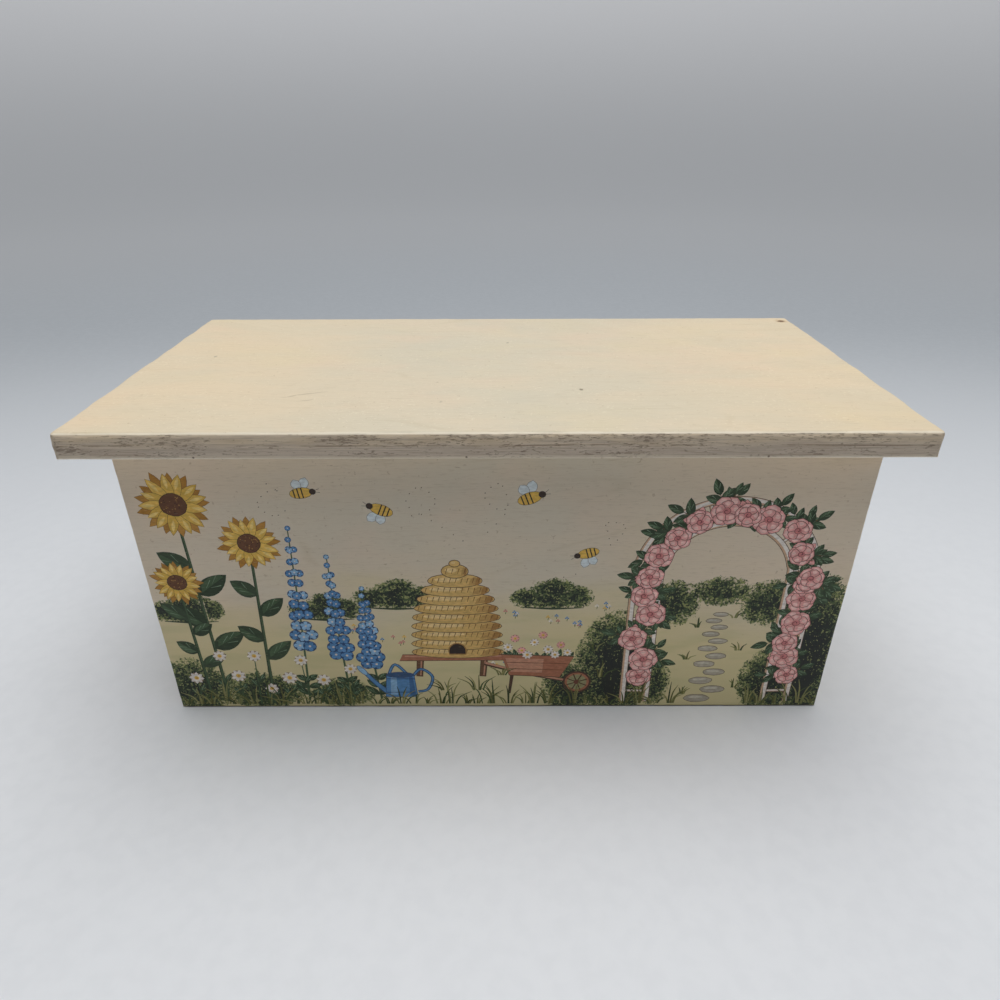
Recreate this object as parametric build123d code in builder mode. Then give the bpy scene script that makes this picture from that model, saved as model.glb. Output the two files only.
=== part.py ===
from build123d import *
from math import radians, tan
import os

# Recipe box: a small wooden box with a hinged overhanging lid board.
# Origin at the centre of the base, on the surface the box stands on. +Z is up and the front faces -Y.
# All sizes are in millimetres.

# Body
body_width = 230.0
body_depth = 117.0
body_height = 104.0
wall = 8.0
rabbet_lip = 4.0
bottom_thickness = 6.0
panel_arris = 0.8

# Lid board
lid_thickness = 8.0
lid_overhang = 10.0
lid_corner = 1.5
lid_top_arris = 1.6
lid_lower_arris = 1.0

# Hinges
hinge_length = 25.0
hinge_inset = 30.0
knuckle_count = 5
knuckle_radius = 1.8
knuckle_clearance = 0.15
barrel_clearance = 0.1
leaf_thickness = 0.8
leaf_margin = 1.2
leaf_gap = 0.1
gain_clearance = 0.05
pin_radius = 0.8
pin_clearance = 0.05
pin_overhang = 0.4

# Hinge screws
screws_per_leaf = 2
screw_pitch = 14.0
screw_radius = 0.9
screw_head_radius = 1.6
screw_head_angle = 90.0
screw_tip_cover = 1.5
screw_point = 1.6
slot_width = 0.45
slot_depth = 0.35

# Brads
brad_radius = 0.6
brad_bite = 12.0
brad_set = 0.5
brad_point = 1.5
brad_tip_radius = 0.2
corner_brads = 3
corner_brad_margin = 16.0
bottom_brads = 3
bottom_brad_margin = 18.0

# Places that follow from the sizes
side_x = body_width / 2
front_y = -body_depth / 2
back_y = body_depth / 2
inner_width = body_width - 2 * wall
inner_depth = body_depth - 2 * wall
lid_width = body_width + 2 * lid_overhang
lid_depth = body_depth + lid_overhang
lid_y = back_y - lid_depth / 2
axis_y = back_y + knuckle_radius + barrel_clearance
axis_z = body_height
leaf_inner_y = back_y - wall + leaf_margin
leaf_outer_y = axis_y - knuckle_radius - knuckle_clearance
gain_inner_y = leaf_inner_y - gain_clearance
gain_depth = leaf_gap / 2 + leaf_thickness
hinge_x = side_x - hinge_inset - hinge_length / 2
knuckle_pitch = hinge_length / knuckle_count
screw_y = (leaf_inner_y + leaf_outer_y) / 2
screw_length = lid_thickness - leaf_gap / 2 - screw_tip_cover
brad_length = wall + brad_bite
corner_brad_inset = (rabbet_lip + wall) / 2
corner_brad_pitch = (body_height - 2 * corner_brad_margin) / (corner_brads - 1)
bottom_brad_pitch = (inner_depth - 2 * bottom_brad_margin) / (bottom_brads - 1)

os.makedirs("parts", exist_ok=True)


def finish(part, name):
    """Label a finished piece and write it under its own name."""
    part.label = name
    export_step(part, f"parts/{name}.step")


def brad_places():
    """Places of one side's brads on the outside of that side, as (y, z)."""
    corner_z = [corner_brad_margin + i * corner_brad_pitch for i in range(corner_brads)]
    bottom_y = [(i - (bottom_brads - 1) / 2) * bottom_brad_pitch for i in range(bottom_brads)]
    front = [(front_y + corner_brad_inset, z) for z in corner_z]
    back = [(back_y - corner_brad_inset, z) for z in corner_z]
    return front + back + [(y, bottom_thickness / 2) for y in bottom_y]


def screw_places(centre_x):
    """Places of one leaf's screws along the hinge, as x."""
    return [centre_x + (i - (screws_per_leaf - 1) / 2) * screw_pitch for i in range(screws_per_leaf)]


def side_plane(side):
    """The outer face of a side, side -1 on the left and +1 on the right, with its normal into the box."""
    return Plane(origin=(side * side_x, 0, 0), x_dir=(0, -side, 0), z_dir=(-side, 0, 0))


# Every brad hole of both sides, taken from each board that the brads go through
with BuildPart() as brad_holes:
    for side in (-1, 1):
        with BuildSketch(side_plane(side)):
            with Locations([(-side * y, z) for y, z in brad_places()]):
                Circle(brad_radius)
        extrude(amount=brad_length)

# The room of both hinges, taken from the back panel under the seam and from the lid board over it:
# a gain for each pair of leaves, and the screw holes
with BuildPart() as hinge_room:
    with BuildSketch(Plane.XY.offset(body_height)):
        with Locations([(side * hinge_x, (gain_inner_y + back_y) / 2) for side in (-1, 1)]):
            Rectangle(hinge_length + 2 * gain_clearance, back_y - gain_inner_y)
    extrude(amount=gain_depth, both=True)
    with BuildSketch(Plane.XY.offset(body_height)):
        with Locations([(x, screw_y) for side in (-1, 1) for x in screw_places(side * hinge_x)]):
            Circle(screw_radius)
    extrude(amount=leaf_gap / 2 + screw_length, both=True)

# Front and back panels, facing -1 and +1 along Y. They run the full width, and a rabbet at each end
# takes a side panel behind a lip.
for facing, name in ((-1, "front_panel"), (1, "back_panel")):
    with BuildPart() as long_panel:
        with BuildSketch(Plane.XY):
            with Locations((0, facing * (back_y - wall / 2))):
                Rectangle(body_width, wall)
            with Locations([(side * (side_x - wall / 2), facing * (back_y - wall)) for side in (-1, 1)]):
                Rectangle(wall, 2 * (wall - rabbet_lip), mode=Mode.SUBTRACT)
        extrude(amount=body_height)
        outer_edges = long_panel.edges().filter_by(Axis.Z).group_by(Axis.Y, reverse=facing > 0)[0]
        fillet(outer_edges, panel_arris)
        add(brad_holes.part, mode=Mode.SUBTRACT)
        add(hinge_room.part, mode=Mode.SUBTRACT)
    finish(long_panel.part, name)

# Side panels. They sit in the rabbets of the front and back panels.
for side, name in ((-1, "left_side_panel"), (1, "right_side_panel")):
    with BuildPart() as side_panel:
        with BuildSketch(Plane.XY):
            with Locations((side * (side_x - wall / 2), 0)):
                Rectangle(wall, body_depth - 2 * rabbet_lip)
        extrude(amount=body_height)
        add(brad_holes.part, mode=Mode.SUBTRACT)
    finish(side_panel.part, name)

# Bottom panel, between the four walls and flush with their lower edges
with BuildPart() as bottom_panel:
    with BuildSketch(Plane.XY):
        Rectangle(inner_width, inner_depth)
    extrude(amount=bottom_thickness)
    add(brad_holes.part, mode=Mode.SUBTRACT)
finish(bottom_panel.part, "bottom_panel")

# Lid board, flush with the back and overhanging the front and sides
with BuildPart() as lid_board:
    with BuildSketch(Plane.XY.offset(body_height)):
        with Locations((0, lid_y)):
            RectangleRounded(lid_width, lid_depth, lid_corner)
    extrude(amount=lid_thickness)
    fillet(lid_board.faces().sort_by(Axis.Z)[-1].edges(), lid_top_arris)
    fillet(lid_board.faces().sort_by(Axis.Z)[0].edges(), lid_lower_arris)
    add(hinge_room.part, mode=Mode.SUBTRACT)
finish(lid_board.part, "lid_board")


def knuckle_spans(first):
    """Ends of every second knuckle along a hinge from its left end, starting at the first one given."""
    spans = []
    for i in range(first, knuckle_count, 2):
        start = i * knuckle_pitch + (knuckle_clearance / 2 if i > 0 else 0)
        end = (i + 1) * knuckle_pitch - (knuckle_clearance / 2 if i < knuckle_count - 1 else 0)
        spans.append((start, end))
    return spans


def build_leaf(centre_x, up, first, bore_radius, name):
    """A hinge leaf: up is -1 for the body's leaf, under the seam, and +1 for the lid's leaf, over it."""
    left = centre_x - hinge_length / 2
    seam_z = axis_z + up * leaf_gap / 2
    with BuildPart() as leaf:
        # The flat plate
        with BuildSketch(Plane.XY.offset(seam_z)):
            with Locations((centre_x, (leaf_inner_y + leaf_outer_y) / 2)):
                Rectangle(hinge_length, leaf_outer_y - leaf_inner_y)
        extrude(amount=up * leaf_thickness)
        # The knuckles, rolled round the pin and carried by tabs of the plate
        for start, end in knuckle_spans(first):
            with BuildSketch(Plane.YZ.offset(left + start)):
                with Locations((axis_y, axis_z)):
                    Circle(knuckle_radius)
                with Locations(((leaf_outer_y + axis_y) / 2, seam_z + up * leaf_thickness / 2)):
                    Rectangle(axis_y - leaf_outer_y, leaf_thickness)
            extrude(amount=end - start)
        # The bore for the pin
        with BuildSketch(Plane.YZ.offset(left)):
            with Locations((axis_y, axis_z)):
                Circle(bore_radius)
        extrude(amount=hinge_length, mode=Mode.SUBTRACT)
        # Countersunk screw holes, whose mouths face the other leaf
        with Locations(Plane((0, 0, seam_z), x_dir=(1, 0, 0), z_dir=(0, 0, -up))):
            with Locations([(x, -up * screw_y) for x in screw_places(centre_x)]):
                CounterSinkHole(screw_radius, screw_head_radius, leaf_thickness, screw_head_angle)
    finish(leaf.part, name)


def build_pin(centre_x, name):
    """A hinge pin, with its domed ends standing a little out of the knuckles."""
    with BuildPart() as pin:
        with BuildSketch(Plane.YZ.offset(centre_x - hinge_length / 2 - pin_overhang)):
            with Locations((axis_y, axis_z)):
                Circle(pin_radius)
        extrude(amount=hinge_length + 2 * pin_overhang)
        fillet(pin.edges().filter_by(GeomType.CIRCLE), pin_overhang)
    finish(pin.part, name)


def build_screws(centre_x, up, name):
    """One leaf's countersunk screws, with their heads flush with the leaf's open face."""
    seam_z = axis_z + up * leaf_gap / 2
    head_depth = (screw_head_radius - screw_radius) / tan(radians(screw_head_angle / 2))
    with BuildPart() as screws:
        for x in screw_places(centre_x):
            # Half of the screw's outline in the XZ plane, turned about the screw's own axis
            with BuildSketch(Plane((x, screw_y, seam_z), x_dir=(1, 0, 0), z_dir=(0, up, 0))):
                with BuildLine():
                    Polyline(
                        (0, 0),
                        (screw_head_radius, 0),
                        (screw_radius, -head_depth),
                        (screw_radius, -screw_length + screw_point),
                        (0, -screw_length),
                        close=True,
                    )
                make_face()
            revolve(axis=Axis((x, screw_y, seam_z), (0, 0, 1)))
            # The driver slot
            with BuildSketch(Plane.XY.offset(seam_z)):
                with Locations((x, screw_y)):
                    Rectangle(2 * screw_head_radius, slot_width)
            extrude(amount=up * slot_depth, mode=Mode.SUBTRACT)
    finish(screws.part, name)


def build_brads(side, name):
    """One side's brads, with their heads set a little under the side's outer face."""
    point_plane = side_plane(side).offset(brad_length - brad_point)
    with BuildPart() as brads:
        with BuildSketch(side_plane(side).offset(brad_set)):
            with Locations([(-side * y, z) for y, z in brad_places()]):
                Circle(brad_radius)
        extrude(amount=brad_length - brad_set - brad_point)
        with Locations(point_plane):
            with Locations([(-side * y, z) for y, z in brad_places()]):
                Cone(brad_radius, brad_tip_radius, brad_point, align=(Align.CENTER, Align.CENTER, Align.MIN))
    finish(brads.part, name)


# Both hinges, each of two leaves, a pin that is tight in the body's leaf, and the screws of each leaf
for side, word in ((-1, "left"), (1, "right")):
    build_leaf(side * hinge_x, -1, 0, pin_radius, f"{word}_hinge_body_leaf")
    build_leaf(side * hinge_x, 1, 1, pin_radius + pin_clearance, f"{word}_hinge_lid_leaf")
    build_pin(side * hinge_x, f"{word}_hinge_pin")
    build_screws(side * hinge_x, -1, f"{word}_hinge_body_screws")
    build_screws(side * hinge_x, 1, f"{word}_hinge_lid_screws")
    build_brads(side, f"{word}_side_brads")
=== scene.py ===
"""A painted wooden recipe box with an overhanging hinged lid, on a pale floor.

Names that end in _mm are lengths in millimetres, and the garden painted on the front is drawn in millimetres
too. Everything handed to Blender is in metres, in the frame of the CAD model: +Z up, the box's front facing
-Y, the origin at the centre of its base.
"""

import math
import random

import bmesh
import bpy
import numpy as np
from mathutils import Matrix, Vector, noise
from mathutils.geometry import delaunay_2d_cdt


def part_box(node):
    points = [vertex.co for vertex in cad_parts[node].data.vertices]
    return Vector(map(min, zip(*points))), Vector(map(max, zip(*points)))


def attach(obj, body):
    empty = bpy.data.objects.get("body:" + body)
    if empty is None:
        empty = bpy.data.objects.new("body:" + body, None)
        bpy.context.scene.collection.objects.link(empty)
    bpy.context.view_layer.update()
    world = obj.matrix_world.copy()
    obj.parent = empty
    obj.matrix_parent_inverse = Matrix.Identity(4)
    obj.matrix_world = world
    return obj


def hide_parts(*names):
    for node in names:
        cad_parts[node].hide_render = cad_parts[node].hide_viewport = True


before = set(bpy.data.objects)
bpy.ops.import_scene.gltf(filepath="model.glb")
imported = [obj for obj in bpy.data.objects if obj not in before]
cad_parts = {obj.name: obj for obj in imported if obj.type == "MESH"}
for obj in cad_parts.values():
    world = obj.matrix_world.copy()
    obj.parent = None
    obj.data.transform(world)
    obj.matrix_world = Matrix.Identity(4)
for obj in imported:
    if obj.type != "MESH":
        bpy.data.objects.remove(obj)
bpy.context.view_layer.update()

MM = 0.001

# Camera, as a pinhole whose picture is FRAME_PX wide
FOCAL_PX = 711.0
FRAME_PX = 1000.0
SENSOR_MM = 36.0
CLIP_START_MM = 10
CAMERA_PITCH = 28.36
CAMERA_YAW = 0.09
CAMERA_ROLL = -0.18
CAMERA_FROM_FRONT_MM = (1.1, -192.0, 189.1)

# Boards
LID_TOP_ARRIS_MM = 1.3
LID_LOWER_ARRIS_MM = 0.4
LID_CORNER_MM = 1.5
RIM_ARRIS_MM = 0.6
JOINT_ARRIS_MM = 0.14
ARRIS_STEPS = 6
ARRIS_PIECE_MM = 1.8
ARRIS_REACH = 1.3
ARRIS_WEAR = 0.24
COARSE_WEAR_MM = 11
FINE_WEAR_MM = 2.6
SUPPORT_MM = 0.3
CUT_CLEARANCE_MM = 0.05
SHARP_DEGREES = 38
FLAT_FACE_CORNERS = 20
GAIN_DEPTH_MM = 0.85
BRAD_HOLE_MM = 0.62
BRAD_SET_MM = 0.5
SAME_PLANE_MM = 0.01

# Surfaces
HEIGHT_UNIT_MM = 0.01
PAINT_ROUGHNESS = 0.6
FRONT_ROUGHNESS = 0.58
LID_ROUGHNESS = 0.56
LID_EDGE_ROUGHNESS = 0.66
WOOD_ROUGHNESS = 0.72
BARE_WITHIN_MM = 3
PAINTED_RIM_SHARE = 0.4
KNOT_FROM_CORNER_MM = (4.6, 6.6)
SPECKS_FROM_MIDDLE_MM = (-85.6, -8.6, 76.5)
# Each mark: its place along X and Y, its size, and how dark it is
LID_MARKS_MM = (
    (26.9, -33.3, 0.8, 0.9), (3.8, 20.2, 0.6, 0.6), (-103.2, 3.3, 0.8, 0.5), (-17.4, -44.1, 0.6, 0.35),
    (-42.7, 4.1, 0.5, 0.35),
)
# Each scratch: its two ends, half its width, and how dark it is
LID_SCRATCHES_MM = (
    ((-68.6, -40.3), (-52.7, -34.0), 0.6, 0.4), ((-61.0, -43.2), (-56.6, -41.4), 0.5, 0.35),
)

# Lamp, and the strength of the world as light and as what is seen beyond the floor
LAMP_PLACE = (0.06, 0.05, 1.2)
LAMP_SIZE = (1.4, 1.25)
LAMP_WATTS = 16.2
LAMP_AIM = (0, 0, 0.05)
SKY_COLOUR = (0.86, 0.92, 1.0, 1)
SKY_LIGHT = 0.12
SKY_SEEN = 0.5

# The painted front
PAINT_CELL_MM = 1.6
PAINT_MARGIN_MM = 0.06
STRAIGHT_MM = 0.004
SMALLEST_SHAPE_MM2 = 0.004
SAME_POINT_MM = 1e-5
ARCH_X_MM = 74
ARCH_FOOT_MM = 2.5
ARCH_SPRING_MM = 56

SEED = 11
hand = random.Random(SEED)


def linear(colour):
    """An sRGB colour from 0 to 255 as linear light."""
    shares = (c / 255 for c in colour)
    return tuple(c / 12.92 if c <= 0.04045 else ((c + 0.055) / 1.055) ** 2.4 for c in shares)


def rgba(colour):
    return (*linear(colour), 1.0)


# Materials


class Output:
    """An output of a node. As a number it can be added, subtracted and multiplied, by one Math node each."""

    def __init__(self, nodes, socket):
        self.nodes = nodes
        self.socket = socket

    def __add__(self, other):
        return self.nodes.math("ADD", self, other)

    def __sub__(self, other):
        return self.nodes.math("SUBTRACT", self, other)

    def __rsub__(self, other):
        return self.nodes.math("SUBTRACT", other, self)

    def __mul__(self, other):
        return self.nodes.math("MULTIPLY", self, other)

    def __abs__(self):
        return self.nodes.math("ABSOLUTE", self)


class Nodes:
    """A node tree, built by short calls that each return an output."""

    def __init__(self, tree):
        self.tree = tree

    def put(self, socket, value):
        """Link an output to a socket, or set the socket to a plain value."""
        if isinstance(value, Output):
            self.tree.links.new(value.socket, socket)
        else:
            socket.default_value = value

    def add(self, kind, output, *inputs, **settings):
        """One output of a new node. Each input is a pair of its name or number and its value."""
        node = self.tree.nodes.new("ShaderNode" + kind)
        for name, value in settings.items():
            setattr(node, name, value)
        for name, value in inputs:
            if value is not None:
                self.put(node.inputs[name], value)
        return Output(self, node.outputs[output])

    def math(self, operation, a, b=None):
        return self.add("Math", 0, (0, a), (1, b), operation=operation)

    def step(self, value, low, high, to_low=0.0, to_high=1.0):
        """A smooth step from to_low to to_high as value goes from low to high."""
        if low > high:
            low, high, to_low, to_high = high, low, to_high, to_low
        return self.add("MapRange", "Result", ("Value", value), ("From Min", low), ("From Max", high),
                        ("To Min", to_low), ("To Max", to_high), interpolation_type="SMOOTHSTEP")

    def seen(self):
        """1 for what the camera sees, mirrored or through glass too, and 0 for light that falls on things."""
        rays = self.tree.nodes.new("ShaderNodeLightPath").outputs
        result = Output(self, rays["Is Camera Ray"])
        for kind in ("Is Glossy Ray", "Is Transmission Ray"):
            result = self.math("MAXIMUM", result, Output(self, rays[kind]))
        return result


class Shader(Nodes):
    """A surface material. Its wood grain, where it has one, runs along one axis."""

    def __init__(self, name, roughness, specular=0.35, metallic=0.0, grain="X"):
        self.material = bpy.data.materials.new(name)
        self.material.use_nodes = True
        super().__init__(self.material.node_tree)
        self.bsdf = self.tree.nodes["Principled BSDF"]
        self.put(self.bsdf.inputs["Roughness"], roughness)
        self.put(self.bsdf.inputs["Specular IOR Level"], specular)
        self.put(self.bsdf.inputs["Metallic"], metallic)
        self.grain = grain
        self.place_mm = self.vector("SCALE", self.add("TexCoord", "Object"), scale=1 / MM)

    def vector(self, operation, a, b=None, scale=None, output="Vector"):
        return self.add("VectorMath", output, (0, a), (1, b), ("Scale", scale), operation=operation)

    def axis(self, letter):
        """One coordinate of the place, in millimetres."""
        return self.add("SeparateXYZ", letter, (0, self.place_mm))

    def distance(self, point, scale=(1, 1, 1)):
        """How far the place is from a point in millimetres, with each axis scaled."""
        away = self.vector("MULTIPLY", self.vector("SUBTRACT", self.place_mm, point), scale)
        return self.vector("LENGTH", away, output="Value")

    def noise(self, sizes_mm, detail=2.0, roughness=0.5, shift=0.0, distortion=0.0):
        """Noise from 0 to 1 with grains of about one size, or of three sizes along X, Y and Z."""
        sizes = sizes_mm if isinstance(sizes_mm, tuple) else (sizes_mm,) * 3
        stretched = self.vector("MULTIPLY", self.place_mm, tuple(1 / size for size in sizes))
        shifted = self.vector("ADD", stretched, (shift, shift * 0.7, shift * 1.3))
        return self.add("TexNoise", "Fac", ("Vector", shifted), ("Scale", 1.0), ("Detail", detail),
                        ("Roughness", roughness), ("Distortion", distortion))

    def grained(self, length, width, **settings):
        """Noise drawn out along the wood's grain."""
        return self.noise(tuple(length if letter == self.grain else width for letter in "XYZ"), **settings)

    def uneven(self, size, reach, **settings):
        """Noise that wanders to either side of 0."""
        return (self.noise(size, **settings) - 0.5) * reach

    def mix(self, share, a, b):
        """Colour a, or colour b as share goes to 1. A plain colour is an sRGB one."""
        a, b = (rgba(colour) if isinstance(colour, tuple) else colour for colour in (a, b))
        return self.add("Mix", "Result", ("Factor", share), ("A", a), ("B", b), data_type="RGBA")

    def stain(self, colour, tint, value, low, high, strength=1.0):
        """A colour that turns into a tint as value goes from low to high."""
        return self.mix(self.step(value, low, high, 0, strength), colour, tint)

    def blend(self, share, a, b):
        """Number a, or number b as share goes to 1."""
        return self.math("ADD", a, self.math("MULTIPLY", share, self.math("SUBTRACT", b, a)))

    def attribute(self, name, output):
        return self.add("Attribute", output, attribute_name=name)

    def finish(self, colour, height=None, roughness=None):
        """Set the colour and roughness, and the height in units of HEIGHT_UNIT_MM."""
        self.put(self.bsdf.inputs["Base Color"], colour)
        if roughness is not None:
            self.put(self.bsdf.inputs["Roughness"], roughness)
        if height is not None:
            bump = self.add("Bump", "Normal", ("Distance", HEIGHT_UNIT_MM * MM), ("Height", height))
            self.put(self.bsdf.inputs["Normal"], bump)
        return self.material


def cream_paint(s, speckle=0.45):
    """Thin cream paint over close-grained wood, as its colour and height."""
    colour = (225, 209, 184)
    # Patches of other tones: their length and width, the noise that shows them, and their colour
    for length, width, shift, low, high, strength, tint in (
        (70, 24, 1.7, 0.4, 0.62, 1.0, (218, 207, 185)),
        (30, 24, 5.2, 0.5, 0.78, 0.6, (229, 206, 182)),
        (44, 30, 11.3, 0.5, 0.75, 0.6, (224, 209, 176)),
        (40, 22, 9.1, 0.5, 0.74, 0.6, (211, 203, 184)),
    ):
        patches = s.grained(length, width, detail=3, shift=shift)
        colour = s.stain(colour, tint, patches, low, high, strength)
    # Faint growth lines here and there
    rings = s.math("FRACT", s.grained(150, 34, detail=1, shift=13.9) * 9.0)
    ring = s.step(rings, 0.4, 0.5) * s.step(rings, 0.58, 0.5)
    ring = ring * s.step(s.grained(30, 20, shift=15.1), 0.52, 0.66, 0, 0.22)
    colour = s.mix(ring, colour, (190, 170, 134))
    streaks = s.grained(16, 0.7, detail=4, roughness=0.65, shift=3.3)
    colour = s.stain(colour, (196, 181, 155), streaks, 0.5, 0.8, 0.4)
    fine = s.grained(3.2, 0.34, shift=7.7)
    colour = s.stain(colour, (187, 169, 142), fine, 0.54, 0.74, 0.4)
    specks = s.noise(0.95, detail=1, shift=12.1) + s.noise(24, shift=19.4) * 0.2
    pale = s.step(specks, 0.76, 0.84, 0, speckle)
    colour = s.mix(pale, colour, (243, 233, 210))
    colour = s.stain(colour, (172, 150, 118), s.noise(1.3, shift=27.7), 0.69, 0.76, 0.6)
    return colour, streaks * 3.0 - fine * 2.4 + pale * 5.0


def pores(s, colour, height, threshold, dark):
    """Open pores as short dark dashes along the grain, fewer as the threshold rises."""
    dashes = s.grained(3.4, 0.42, detail=3, roughness=0.6, shift=21.3)
    shown = s.step(dashes + s.grained(13, 3.0, shift=31.9) * 0.45, threshold, threshold + 0.08)
    return s.mix(shown * 0.85, colour, dark), height - shown * 9.0


def bare_wood(s, tone=(216, 187, 146)):
    """Pale unpainted softwood with growth lines, as its colour and height."""
    bands = s.math("FRACT", s.grained(140, 5.0, distortion=0.5, shift=2.2) * 11.0)
    late = s.step(bands, 0.45, 0.96)
    darker = tuple(c * k for c, k in zip(tone, (0.87, 0.81, 0.72)))
    colour = s.mix(late * 0.7, tone, darker)
    colour = s.stain(colour, (224, 199, 162), s.noise(26, shift=4.4), 0.45, 0.75, 0.35)
    fibres = s.grained(9, 0.3, detail=3, shift=6.6)
    colour = s.stain(colour, (172, 137, 95), fibres, 0.52, 0.8, 0.45)
    return colour, late * 1.5 - fibres * 4.0


def outside_mask(s, corner, ragged_mm):
    """0 in a rectangle round the box's middle, out to a corner, and 1 beyond it, with a ragged border."""
    ragged = s.uneven(7, 2 * ragged_mm, detail=3, shift=8.8)
    past_x = abs(s.axis("X")) - corner.x / MM
    past_y = abs(s.axis("Y")) - corner.y / MM
    return s.step(s.math("MAXIMUM", past_x, past_y) + ragged, -0.2, 0.2)


def foot_contact_shadow(s, colour, corner):
    """Painted contact shadow darkening the lower arris where the box is set down; corner is where its
    rounding starts.
    """
    foot = s.step(s.axis("Z") + s.noise(8, detail=3, shift=62.0) * 0.6, 1.15, 0.7, 0.0, 0.85)
    return s.mix(foot * outside_mask(s, corner, 0.3), colour, (88, 66, 50))


def painted_outside(s, paint, height, paint_from, roughness):
    """Finish a wall with paint outside and bare wood inside. The paint starts at paint_from, a corner."""
    wood, wood_height = bare_wood(s)
    outside = outside_mask(s, paint_from, 1.4)
    return s.finish(s.mix(outside, wood, paint), s.blend(outside, wood_height, height),
                    s.blend(outside, WOOD_ROUGHNESS, roughness))


def wall_paint(name, grain, paint_from, arris_from):
    """Cream paint on a wall without a picture."""
    s = Shader(name, PAINT_ROUGHNESS, grain=grain)
    paint, height = cream_paint(s)
    paint, height = pores(s, paint, height, 0.9, (160, 136, 108))
    # The lower arris gets a painted contact shadow
    return painted_outside(s, foot_contact_shadow(s, paint, arris_from), height, paint_from, PAINT_ROUGHNESS)


def front_paint(name, paint_from, arris_from, front_y):
    """The front panel: cream, greenish ground low down, sponged shrubs, and the painted shapes over them."""
    s = Shader(name, PAINT_ROUGHNESS)
    base, height = cream_paint(s, 0.16)
    base, height = pores(s, base, height, 0.97, (165, 142, 114))
    # Painted light: the cream paler towards both ends than in the middle
    ends = s.step(abs(s.axis("X")), 30.0, 110.0)
    base = s.mix(0.25, base, s.mix(ends, (196, 182, 164), (240, 212, 186)))
    # Ground wash, fading upwards
    drift = s.noise((40, 40, 12), detail=3, shift=16.6)
    level = s.axis("Z") + (drift - 0.5) * 34.0
    ground = s.stain((218, 202, 154), (206, 194, 144), s.noise((22, 22, 6), detail=3, shift=18.2), 0.42, 0.66)
    ground = s.stain(ground, (202, 194, 142), level, 26.0, 4.0, 0.4)
    on_face = s.step(s.axis("Y") - front_y / MM + drift * 0.8, 1.4, 0.9, 0.0, 0.92)
    base = s.mix(s.step(level, 60.0, 26.0) * on_face, base, ground)
    # Shrubs, sponged on in layers: a haze, dabs of green, dark dabs in the thick of it, and light glints
    shrub = s.attribute("shrub", "Fac")
    amount = (shrub + s.uneven(3.2, 1.1, shift=43.0)) * s.step(shrub, 0.02, 0.3)
    base = s.stain(base, (132, 132, 88), amount, 0.1, 0.8, 0.75)
    for size, shift, start, colour in (
        (0.85, 41.0, 0.66, (112, 122, 74)),
        (0.7, 47.0, 0.7, (70, 84, 52)),
        (0.9, 49.0, 0.8, (38, 48, 36)),
        (0.6, 51.0, 0.92, (30, 34, 32)),
    ):
        dabs = s.noise(size, detail=1, shift=shift) + amount * 0.42
        base = s.mix(s.step(dabs, start, start + 0.05) * s.step(amount, 0.04, 0.2), base, colour)
    glints = s.noise(0.7, detail=1, shift=53.0) + amount * -0.06
    base = s.mix(s.step(glints, 0.56, 0.61) * s.step(amount, 0.1, 0.35, 0, 0.8), base, (158, 162, 100))
    # The painted shapes, worn thin along the grain here and there
    wear = s.step(s.grained(2.4, 0.3, shift=57.0), 0.64, 0.78, 0, 0.35)
    cover = s.attribute("cover", "Fac") * (1.0 - wear)
    tone = s.step(s.noise((1.6, 1.6, 0.8), detail=3, shift=61.0), 0.3, 0.7, 0.84, 1.12)
    shapes = s.vector("SCALE", s.attribute("paint", "Vector"), scale=tone)
    # A painted contact shadow darkens the lower arris
    painted = foot_contact_shadow(s, s.mix(cover, base, shapes), arris_from)
    return painted_outside(s, painted, height, paint_from, FRONT_ROUGHNESS)


def marked_top(s, top, z):
    """The small marks and scratches in the lid's paint, at the height of its top."""
    for x, y, size, strength in LID_MARKS_MM:
        reach = s.distance((x, y, z), (1.0, 0.7, 0.3)) + s.uneven(0.7, 1.2, shift=x)
        top = s.stain(top, (134, 122, 98), reach, size, size * 0.4, strength)
    for start, end, half_width, strength in LID_SCRATCHES_MM:
        run = Vector(end) - Vector(start)
        middle = (Vector(start) + Vector(end)) / 2
        from_middle = s.vector("SUBTRACT", s.place_mm, (*middle, z))
        ahead = run.normalized() * 2 / run.length
        aside = Vector((-run.y, run.x)).normalized() / half_width
        along = s.vector("DOT_PRODUCT", from_middle, (*ahead, 0), output="Value")
        across = s.vector("DOT_PRODUCT", from_middle, (*aside, 0), output="Value")
        across = across + s.uneven(3, 3.0, shift=start[0])
        top = s.stain(top, (160, 138, 104), along * along + across * across, 1.0, 0.2, strength)
    return top


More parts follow.
